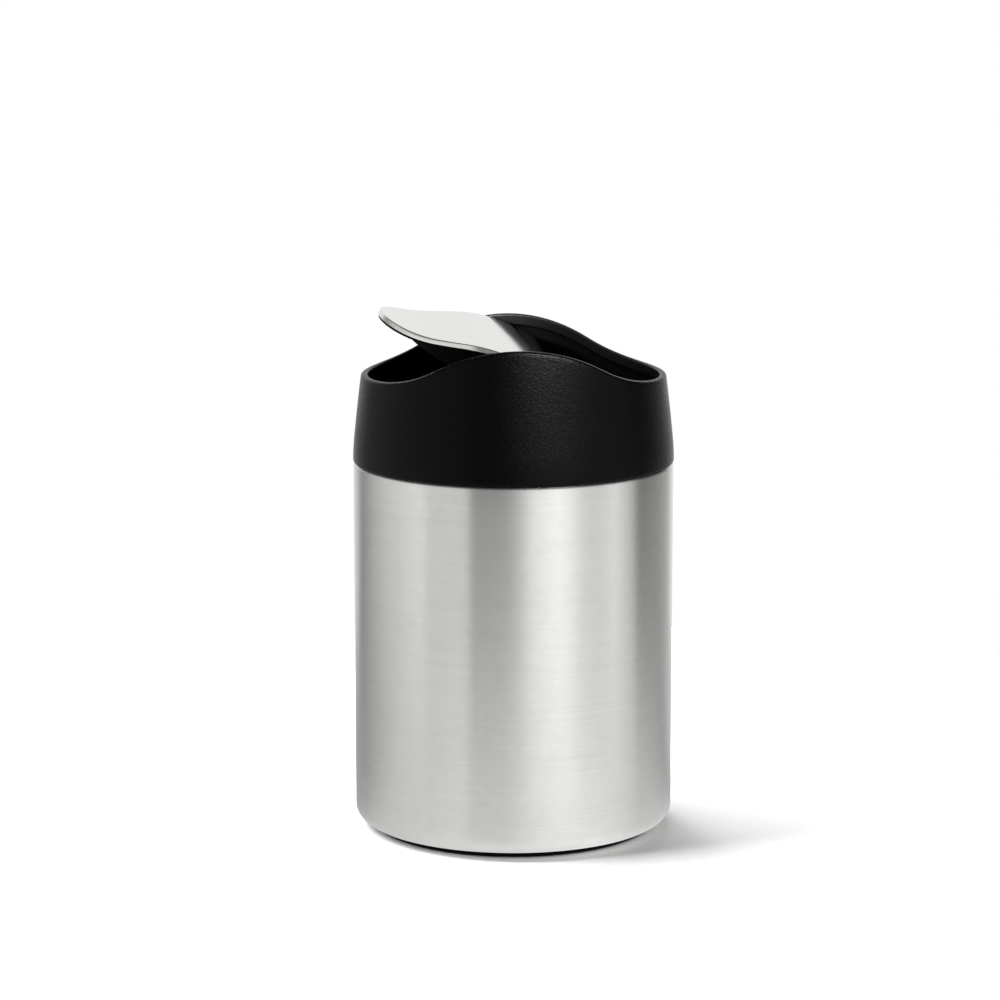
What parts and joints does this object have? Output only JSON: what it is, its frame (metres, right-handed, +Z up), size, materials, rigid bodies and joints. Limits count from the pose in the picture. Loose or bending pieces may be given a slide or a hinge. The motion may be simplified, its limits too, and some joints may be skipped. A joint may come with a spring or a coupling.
{
  "type": "push top countertop bin",
  "caption": "Cylindrical steel countertop bin with a black wavy-rimmed ring and a polished see-saw lid that swings open when either end is pushed.",
  "frame": {"origin": "centre of the foot ring, at the level it rests on", "axes": "+Z up; the lid's pivot axis runs along Y, the front is -Y, and +X is the side where the lid is pushed down"},
  "size_m": [0.1204, 0.1204, 0.1968],
  "materials": {
    "brushed_shell_steel": "fine horizontal brushing",
    "textured_black_plastic": "fine moulded grain, satin",
    "black_plastic": "satin",
    "bucket_plastic": "smooth satin",
    "soft_rubber": "matt",
    "bearing_plastic": "smooth",
    "polished_lid_steel": "mirror polished",
    "pin_steel": "ground",
    "weight_steel": "zinc plated",
    "fastener_steel": "zinc plated"
  },
  "bodies": {
    "drum": {"outer_shell": "brushed_shell_steel", "mouth_collar": "black_plastic", "base_pan": "black_plastic", "foot_ring": "soft_rubber"},
    "bucket": {"inner_bucket": "bucket_plastic"},
    "lid_ring": {"rim_ring": "textured_black_plastic", "grip_band": "soft_rubber", "chute_liner": "black_plastic", "bush_front": "bearing_plastic", "bush_rear": "bearing_plastic", "liner_screws": "fastener_steel", "stop_pads": "soft_rubber"},
    "lid": {"lid_skin": "polished_lid_steel", "lid_carrier": "black_plastic", "pivot_pin_front": "pin_steel", "pivot_pin_rear": "pin_steel", "pin_clips": "fastener_steel", "balance_weight": "weight_steel", "weight_cover": "black_plastic", "cover_screws": "fastener_steel"}
  },
  "joints": [
    {"name": "bucket_lift", "type": "slide", "parent": "drum", "child": "bucket", "axis": [0, 0, 1], "range_m": [0, 0.15]},
    {"name": "ring_lift", "type": "slide", "parent": "bucket", "child": "lid_ring", "axis": [0, 0, 1], "range_m": [0, 0.06]},
    {"name": "lid_swing", "type": "hinge", "parent": "lid_ring", "child": "lid", "pos_m": [0, 0, 0.1788], "axis": [0, 1, 0], "range_deg": [-88.7, 35.3]}
  ]
}
